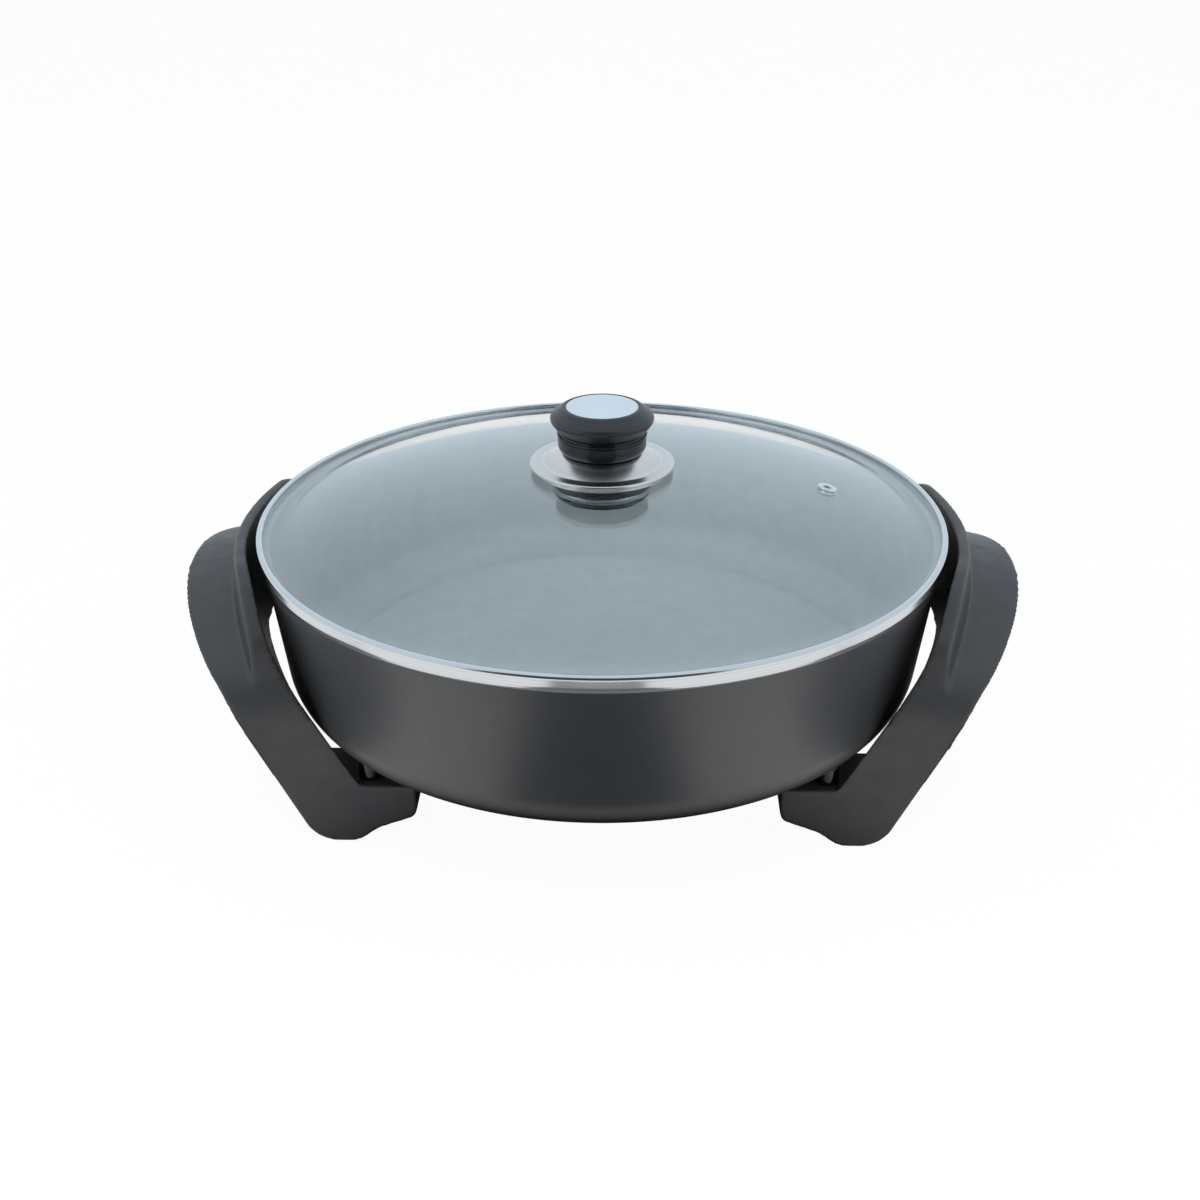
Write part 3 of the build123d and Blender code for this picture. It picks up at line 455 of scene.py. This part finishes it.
def makePan():
    legLow = nodeBox("leg_spacers")[1].z
    legs = makeBosses("legBosses", pan["legBoss"], pan["legHole"], legLow, pan["legRoot"])
    legs = setOut(legs, "nonStickCoatOutside", pan["legWidth"], pan["legDepth"])
    lugs = makeBosses("lugBosses", pan["lugBoss"], pan["lugHole"], pan["lugLow"], pan["lugRoot"])
    lugs = setOut(lugs, "nonStickCoatOutside", pan["lugWidth"], 0, (0, pan["lugPlace"], 0))
    return joinPieces(makeBowl(), legs, lugs)


dress(makePan(), "skillet", "pan")
print("pan turned")


# Lid: the glass dome, its steel band and the vent

lid = {
    "glassThickness": 4.0, "glassRise": 29.0, "brim": 9.0, "brimRound": 24.0, "edgeRound": 0.8,
    "boltHole": 2.8, "bandWidth": 3.4, "biteIntoBand": 0.8, "domeSteps": 44, "domeRoom": 8.0,
    "stepDegrees": 3, "margin": 0.6,
}

bandLow, bandHigh = nodeBox("lid_rim")
glassLow, glassHigh = nodeBox("lid_glass")
glassEdge = bandHigh.x - lid["bandWidth"] + lid["biteIntoBand"]
domeEdge = glassEdge - lid["brim"]
domeSphere = (domeEdge ** 2 + lid["glassRise"] ** 2) / (2 * lid["glassRise"])
domeCentre = glassHigh.z - domeSphere  # height of the sphere's middle


def domeArc(sphere, start, end):
    radii = [start + (end - start) * k / lid["domeSteps"] for k in range(lid["domeSteps"] + 1)]
    return [(r, domeCentre + sqrt(sphere ** 2 - r ** 2), 0) for r in radii]


def makeGlass():
    bottom = glassLow.z
    top = bottom + lid["glassThickness"]
    inside = domeSphere - lid["glassThickness"]
    innerEdge = sqrt(inside ** 2 - (bottom - domeCentre) ** 2)
    room, brimRound, edgeRound = lid["domeRoom"], lid["brimRound"], lid["edgeRound"]
    brim = [(domeEdge, top, brimRound), (glassEdge, top, edgeRound), (glassEdge, bottom, edgeRound),
            (innerEdge, bottom, brimRound)]
    corners = (domeArc(domeSphere, lid["boltHole"], domeEdge - room) + brim
               + domeArc(inside, innerEdge - room, lid["boltHole"]))
    return turnPiece("lidGlass", corners, "temperedGlass", stepDegrees=lid["stepDegrees"],
                     margin=lid["margin"])


band = {
    "innerRound": 0.4, "tuck": 0.3, "lowRound": 1.0, "flare": 2.0, "flareRound": 3.0, "topRound": 1.8,
    "lipRound": 1.0, "lipHeight": 2.0, "lipLean": 0.2, "stepDegrees": 8, "segments": 384,
}


def makeBand():
    outer, low, high = bandHigh.x, bandLow.z, bandHigh.z
    inner, lean = outer - lid["bandWidth"], band["lipLean"]
    corners = [
        (inner, low, band["innerRound"]), (outer - band["tuck"], low, band["lowRound"]),
        (outer, low + band["flare"], band["flareRound"]), (outer, high, band["topRound"]),
        (inner, high - lean, band["lipRound"]),
        (inner + lean, high - band["lipHeight"], band["innerRound"])]
    return turnPiece("lidBand", corners, "polishedSteelBand", stepDegrees=band["stepDegrees"],
                     segments=band["segments"])


vent = {
    "hole": 2.0, "shank": 3.6, "flange": 5.25, "sheet": 1.0, "clearance": 0.06, "edgeShare": 0.7,
    "crown": 1.6, "mouthDrop": 0.3, "segments": 64, "margin": 0.15,
}


def makeEyelet():  # its axis stands square to the glass
    low, high = nodeBox("vent_eyelet")
    middle = (low + high) / 2
    away = sqrt(middle.x ** 2 + middle.y ** 2)
    hole, shank, flange, sheet, gap = (vent[key] for key in ("hole", "shank", "flange", "sheet", "clearance"))
    paintedShadowDisc = -lid["glassThickness"] - gap
    corners = [
        (hole, paintedShadowDisc - sheet, 0.35), (flange, paintedShadowDisc - sheet, 0.45), (flange, paintedShadowDisc, 0.3),
        (shank, paintedShadowDisc, 0), (shank, gap, 0), (flange, gap, 0.2), (flange, sheet * vent["edgeShare"], 0.35),
        (flange - vent["crown"], sheet, 0.8), (hole, sheet - vent["mouthDrop"], 0.5)]
    piece = turnPiece("ventEyelet", corners, "spunStainlessSheet", segments=vent["segments"],
                      margin=vent["margin"])
    turned = Matrix.Rotation(atan2(middle.y, middle.x), 4, "Z")
    tilted = Matrix.Rotation(asin(away / domeSphere), 4, "Y")
    crown = Matrix.Translation((0, 0, domeSphere * mm))
    piece.data.transform(Matrix.Translation((0, 0, domeCentre * mm)) @ (turned @ tilted) @ crown)
    return piece


glass = makeGlass()
glass.visible_shadow = False  # the lamps reach the inside of the pan as they do through real glass
dress(glass, "lid", "lid_glass")
dress(makeBand(), "lid", "lid_rim")
dress(makeEyelet(), "lid", "vent_eyelet")
print("lid turned")


# Knob: a coned plate, a stem with a collar, a cap with a disc, and the seat under the glass

plate = {
    "sheet": 1.0, "rimAboveGlass": 3.1, "rimThickness": 2.0, "skirt": 35.2, "hub": 20.5, "foot": 31.9,
    "slopeShift": 0.5, "overGlass": 0.05, "stepDegrees": 7,
}


def makePlate():
    outer, top, sheet = nodeBox("knob_plate")[1].x, glassHigh.z + plate["rimAboveGlass"], plate["sheet"]
    middle, hole = nodeBox("knob_stem")[0].z, lid["boltHole"]
    hub, foot, skirt, shift = (plate[key] for key in ("hub", "foot", "skirt", "slopeShift"))
    paintedShadowDisc = top - plate["rimThickness"]
    glassTop = domeCentre + sqrt(domeSphere ** 2 - (skirt - sheet) ** 2) + plate["overGlass"]
    corners = [
        (hole, middle - sheet, 0), (hub, middle - sheet, 1.2), (foot - shift, top - sheet, 1.5),
        (skirt - sheet, top - sheet, 0), (skirt - sheet, glassTop, 0), (skirt, glassTop, 0.2),
        (skirt, paintedShadowDisc, 0), (outer, paintedShadowDisc, 0.5), (outer, top, 1.0), (foot, top, 2.5),
        (hub + shift, middle, 1.2), (hole, middle, 0)]
    return turnPiece("knobPlate", corners, "brushedSteelPlate", stepDegrees=plate["stepDegrees"])


stem = {"radius": 23.0, "lowRound": 4.0, "groove": 0.8, "grooveDepth": 0.9, "collarHeight": 1.0}


def makeStem():
    low, high = nodeBox("knob_stem")
    radius, hole = stem["radius"], lid["boltHole"]
    inner, groove = radius - stem["grooveDepth"], stem["groove"]
    collarTop = high.z - groove
    collarLow = collarTop - stem["collarHeight"]
    grooveLow = collarLow - groove
    corners = [
        (hole, low.z, 0), (radius, low.z, stem["lowRound"]), (radius, grooveLow, 0.3),
        (inner, grooveLow, 0.15), (inner, collarLow, 0.15), (high.x, collarLow, 0.4),
        (high.x, collarTop, 0.4), (inner, collarTop, 0.15), (inner, high.z, 0), (hole, high.z, 0)]
    return turnPiece("knobStem", corners, "polishedPhenolic")


cap = {
    "base": 22.3, "widest": 7.6, "discLip": 0.9, "discSheet": 0.8, "shoulder": 1.1, "shoulderDrop": 0.15,
    "lipIn": 0.2, "wellGap": 0.05, "wellDrop": 0.1, "stepDegrees": 8.0,
}


def makeCap():
    low, high = nodeBox("knob_cap")
    disc = nodeBox("knob_disc")[1].x
    lip, well, gap = disc + cap["discLip"], high.z - cap["discSheet"], cap["wellGap"]
    corners = [
        (0, low.z, 0), (cap["base"], low.z, 1.2), (high.x, low.z + cap["widest"], 2.6),
        (lip + cap["shoulder"], high.z - cap["shoulderDrop"], 2.4), (lip - cap["lipIn"], high.z, 0.2),
        (disc + gap, high.z - cap["wellDrop"], 0), (disc + gap, well, 0), (0, well, 0)]
    return turnPiece("knobCap", corners, "satinPhenolic", False, cap["stepDegrees"])


def makeDisc():
    low, high = nodeBox("knob_disc")
    corners = [(0, low.z, 0), (high.x, low.z, 0), (high.x, high.z, 0.3), (0, high.z, 0)]
    return turnPiece("knobDisc", corners, "satinSteelDisc", False)


seat = {
    "recess": 5.2, "recessDepth": 4.0, "lowRound": 3.8, "ring": 0.9, "ringGap": 0.05, "rimDrop": 0.75,
    "topDrop": 0.1,
}


def makeSeat():
    low, high = nodeBox("knob_seat")
    ringLow, ringHigh = nodeBox("knob_seat_ring")
    inner, step = ringHigh.x - seat["ring"], ringLow.z
    recess, hole, recessTop = seat["recess"], lid["boltHole"], low.z + seat["recessDepth"]
    corners = [
        (recess, recessTop, 0), (recess, low.z, 0.3), (high.x, low.z, seat["lowRound"]),
        (high.x, step, 0.3), (inner, step, 0), (inner, high.z - seat["rimDrop"], 0),
        (hole, high.z - seat["topDrop"], 0), (hole, recessTop, 0)]
    return turnPiece("knobSeat", corners, "polishedBluePhenolic")


def makeSeatRing():
    low, high = nodeBox("knob_seat_ring")
    outer, inner = high.x, high.x - seat["ring"] + seat["ringGap"]
    corners = [(inner, low.z, 0.1), (outer, low.z, 0.3), (outer, high.z, 0.3), (inner, high.z, 0.1)]
    return turnPiece("knobSeatRing", corners, "polishedSteelBand")


dress(makePlate(), "lid", "knob_plate")
dress(makeStem(), "lid", "knob_stem")
dress(makeCap(), "lid", "knob_cap")
dress(makeDisc(), "lid", "knob_disc")
dress(makeSeat(), "lid", "knob_seat")
dress(makeSeatRing(), "lid", "knob_seat_ring")
print("knob turned")


# Mouldings: a node's own form on an even grid, its edges softened without shrinking

moulding = {
    "weld": 0.02, "handleGrid": 1.0, "handleRounds": 4, "shroudGrid": 0.7, "shroudRounds": 1,
    "strokes": (("soften", 0.5, 8), ("regain", -0.52, 5)),  # each round's, with factor and passes
    "lastStroke": ("settle", 0.5, 4),
}


def makeMoulding(name, node, grid, rounds):
    work = bmesh.new()
    work.from_mesh(nodes[node].data)
    bmesh.ops.remove_doubles(work, verts=work.verts, dist=moulding["weld"] * mm)
    bmesh.ops.recalc_face_normals(work, faces=work.faces)
    mesh = bpy.data.meshes.new(name)
    work.to_mesh(mesh)
    work.free()
    piece = linkMesh(name, mesh)
    remesh = piece.modifiers.new("evenGrid", "REMESH")
    remesh.mode = "VOXEL"
    remesh.voxel_size = grid * mm
    remesh.use_smooth_shade = True
    for label, factor, passes in moulding["strokes"] * rounds + (moulding["lastStroke"],):
        smooth = piece.modifiers.new(label, "SMOOTH")  # regain pushes back most of what soften shrinks
        smooth.factor = factor
        smooth.iterations = passes
    bakeModifiers(piece)
    piece.data.materials.clear()
    piece.data.materials.append(finishes["texturedPhenolic"])
    return piece


for side in ("right", "left"):
    handle = makeMoulding(side + "Handle", side + "_handle", moulding["handleGrid"], moulding["handleRounds"])
    dress(handle, "skillet", side + "_handle")
shroud = makeMoulding("inletShroud", "socket_shroud", moulding["shroudGrid"], moulding["shroudRounds"])
dress(shroud, "skillet", "socket_shroud")
print("mouldings made")


# Feet: spacers between the handles and the pan, and pads under the soles

feet = {
    "spacer": 6.5, "spacerHole": 2.8, "spacerRound": 0.5, "padWidth": 260.0, "padDepth": 168.0, "pad": 6.5,
    "padRound": 0.6, "grooves": (1.8, 3.6), "grooveHalf": 0.3, "grooveDeep": 0.4, "grooveRound": 0.1,
    "segments": 64,
}


def makeSpacers():
    low, high = nodeBox("leg_spacers")
    outer, hole, edge = feet["spacer"], feet["spacerHole"], feet["spacerRound"]
    corners = [(hole, low.z, 0), (outer, low.z, edge), (outer, high.z, edge), (hole, high.z, 0)]
    piece = turnPiece("legSpacers", corners, "polishedPhenolic", segments=feet["segments"])
    return setOut(piece, "polishedPhenolic", pan["legWidth"], pan["legDepth"])


def makePads():
    low, high = nodeBox("foot_pads")
    radius, half, deep, edge = (feet[key] for key in ("pad", "grooveHalf", "grooveDeep", "grooveRound"))
    corners = [(0, low.z, 0)]
    for groove in feet["grooves"]:
        corners += [(groove - half, low.z, edge), (groove, low.z + deep, edge), (groove + half, low.z, edge)]
    corners += [(radius, low.z, feet["padRound"]), (radius, high.z, 0), (0, high.z, 0)]
    piece = turnPiece("footPads", corners, "mouldedRubber", False, segments=feet["segments"])
    return setOut(piece, "mouldedRubber", feet["padWidth"], feet["padDepth"])


dress(makeSpacers(), "skillet", "leg_spacers")
dress(makePads(), "skillet", "foot_pads")
print("feet set out")


# The pieces that keep their own form

carried = {
    "heating_plate": "bareAluminiumCasting", "heating_element": "oxidisedSteelSheath",
    "element_clamps": "zincPlatedSteel", "clamp_screws": "zincPlatedSteel",
    "base_plate": "rolledAluminiumSheet", "base_plate_screws": "zincPlatedSteel",
    "socket_screws": "zincPlatedSteel", "terminal_pins": "nickelPlatedBrass",
    "pin_insulators": "firedSteatite", "probe_tube": "drawnStainlessTube",
    "earth_contact": "nickelPlatedBrass", "leg_washers": "zincPlatedSteel",
    "leg_screws": "zincPlatedSteel", "upper_seal": "pressedSilicone",
    "lower_seal": "pressedSilicone", "knob_screw": "zincPlatedSteel",
}

for name, finish in carried.items():
    nodes[name].data.materials.clear()
    nodes[name].data.materials.append(finishes[finish])
print("carried pieces finished:", len(carried))


# Studio: a white floor and surround, soft lamps at both sides and above, and grey cards that only show
# in reflections. Its places and sizes are in metres.

studio = {
    # the two radii after floorSeen (metres from the middle) fade out the painted shadow that glossy pieces
    # mirror under themselves
    "floorColour": 0.82, "floorSeen": 0.96, "paintedShadowEdge": 0.15, "paintedShadowGone": 0.22, "floorSide": 8.0,
    "skyColour": "#e6f4ff", "skyLight": 0.55, "skySeen": 0.95,
    "cards": {  # left, right, front, back, low and high, then the felt's colour
        "uprightCard": (-0.85, 0.85, -1.15, -1.15, 0.02, 1.9, "#4c4c4c"),
        "frontFloorCard": (-0.085, 0.085, -0.44, -0.2, 0.001, 0.001, "#6c6c6c"),
        "leftFloorCard": (-0.36, -0.19, -0.17, 0.15, 0.001, 0.001, "#747474"),
        "rightFloorCard": (0.19, 0.36, -0.17, 0.15, 0.001, 0.001, "#747474")},
    "lamps": {  # place, width, height and watts
        "topLamp": ((0.0, -0.55, 1.5), 1.8, 1.4, 13.0),
        "leftLamp": ((-1.4, -0.6, 0.95), 1.5, 1.2, 12.5),
        "rightLamp": ((1.4, -0.6, 0.95), 1.5, 1.2, 12.0)},
    "lampAim": (0, 0, 0.1),
}


def makeFloor():  # plain paint that takes the object's shadow, mostly white where it is seen straight
    side, level = studio["floorSide"], studio["floorColour"]
    mesh = bpy.data.meshes.new("studioFloor")
    mesh.from_pydata([(-side, -side, 0), (side, -side, 0), (side, side, 0), (-side, side, 0)],
                     [], [(0, 1, 2, 3)])
    material, tree = newMaterial("paintedFloor")
    plain = addNode(tree, "ShaderNodeBsdfDiffuse", inputs={"Color": (level, level, level, 1)})
    path = addNode(tree, "ShaderNodeLightPath")
    place = addNode(tree, "ShaderNodeTexCoord").outputs["Object"]
    # what the pieces mirror gets a painted shadow: the floor is drawn dark under them, standing in for their
    # shadow, and white farther out
    away = addNode(tree, "ShaderNodeVectorMath", {"operation": "LENGTH"}, {0: place})
    paintedShadowDisc = addNode(tree, "ShaderNodeMapRange", inputs={
        "Value": away.outputs["Value"], "From Min": studio["paintedShadowEdge"], "From Max": studio["paintedShadowGone"],
        "To Min": 1.0, "To Max": 0.0})
    paintedShadowInGloss = addNode(tree, "ShaderNodeMath", {"operation": "MULTIPLY"}, {
        0: path.outputs["Is Glossy Ray"], 1: paintedShadowDisc.outputs[0]})
    strength = addNode(tree, "ShaderNodeMath", {"operation": "SUBTRACT"}, {0: 1.0, 1: paintedShadowInGloss.outputs[0]})
    white = addNode(tree, "ShaderNodeEmission", inputs={
        "Color": (1, 1, 1, 1), "Strength": strength.outputs[0]})
    straight = addNode(tree, "ShaderNodeMath", {"operation": "MAXIMUM"}, {
        0: path.outputs["Is Camera Ray"], 1: path.outputs["Is Transmission Ray"]})
    seen = addNode(tree, "ShaderNodeMath", {"operation": "MULTIPLY"}, {
        0: straight.outputs[0], 1: studio["floorSeen"]})
    share = addNode(tree, "ShaderNodeMath", {"operation": "MAXIMUM"}, {
        0: seen.outputs[0], 1: path.outputs["Is Glossy Ray"]})
    mixed = addNode(tree, "ShaderNodeMixShader", inputs={
        0: share.outputs[0], 1: plain.outputs[0], 2: white.outputs[0]})
    addNode(tree, "ShaderNodeOutputMaterial", inputs={"Surface": mixed.outputs[0]})
    mesh.materials.append(material)
    linkMesh("studioFloor", mesh)


def makeCards():  # grey felt that only the glossy pieces see: it keeps their fronts dark
    for name, (left, right, front, back, low, high, colour) in studio["cards"].items():
        material, tree = newMaterial(name + "Felt")
        felt = addNode(tree, "ShaderNodeBsdfDiffuse", inputs={"Color": srgb(colour)})
        addNode(tree, "ShaderNodeOutputMaterial", inputs={"Surface": felt.outputs[0]})
        mesh = bpy.data.meshes.new(name)
        mesh.from_pydata([(left, front, low), (right, front, low), (right, back, high), (left, back, high)],
                         [], [(0, 1, 2, 3)])
        mesh.materials.append(material)
        card = linkMesh(name, mesh)
        card.visible_camera = card.visible_shadow = card.visible_diffuse = card.visible_transmission = False


def makeWorld():
    world = bpy.data.worlds.new("studioSurround")
    bpy.context.scene.world = world
    world.use_nodes = True
    tree = world.node_tree
    tree.nodes.clear()
    sky = srgb(studio["skyColour"])
    lighting = addNode(tree, "ShaderNodeBackground", inputs={"Color": sky, "Strength": studio["skyLight"]})
    mirrored = addNode(tree, "ShaderNodeBackground", inputs={"Color": sky, "Strength": studio["skySeen"]})
    white = addNode(tree, "ShaderNodeBackground", inputs={"Color": (1, 1, 1, 1), "Strength": 1.0})
    path = addNode(tree, "ShaderNodeLightPath")
    either = addNode(tree, "ShaderNodeMath", {"operation": "MAXIMUM"}, {
        0: path.outputs["Is Glossy Ray"], 1: path.outputs["Is Transmission Ray"]})
    soft = addNode(tree, "ShaderNodeMixShader", inputs={
        0: either.outputs[0], 1: lighting.outputs[0], 2: mirrored.outputs[0]})
    shown = addNode(tree, "ShaderNodeMixShader", inputs={
        0: path.outputs["Is Camera Ray"], 1: soft.outputs[0], 2: white.outputs[0]})
    addNode(tree, "ShaderNodeOutputWorld", inputs={"Surface": shown.outputs[0]})


def makeLamps():
    middle = Vector(studio["lampAim"])
    for name, (place, width, height, watts) in studio["lamps"].items():
        light = bpy.data.lights.new(name, "AREA")
        light.shape = "RECTANGLE"
        light.size = width
        light.size_y = height
        light.energy = watts
        lamp = bpy.data.objects.new(name, light)
        bpy.context.scene.collection.objects.link(lamp)
        lamp.location = place
        lamp.visible_glossy = False  # so that the pieces mirror the even surround alone
        lamp.rotation_euler = (middle - Vector(place)).to_track_quat("-Z", "Y").to_euler()


camera = {
    "aim": (-0.0011, 0.0, 0.0907), "distance": 0.9, "elevation": 26.06, "turn": 1.2,
    "lens": 49.87, "sensor": 36.0, "nearest": 0.05, "farthest": 50,
}


def makeCamera():
    data = bpy.data.cameras.new("studioCamera")
    data.lens = camera["lens"]
    data.sensor_width = camera["sensor"]
    data.clip_start = camera["nearest"]
    data.clip_end = camera["farthest"]
    body = bpy.data.objects.new("studioCamera", data)
    bpy.context.scene.collection.objects.link(body)
    rise, turn = radians(camera["elevation"]), radians(camera["turn"])
    back = Vector((sin(turn) * cos(rise), -cos(turn) * cos(rise), sin(rise)))
    body.location = Vector(camera["aim"]) + back * camera["distance"]
    body.rotation_euler = (-back).to_track_quat("-Z", "Y").to_euler()
    bpy.context.scene.camera = body


makeFloor()
makeCards()
makeWorld()
makeLamps()
makeCamera()
bpy.context.scene.view_settings.view_transform = "Standard"
print("studio set")
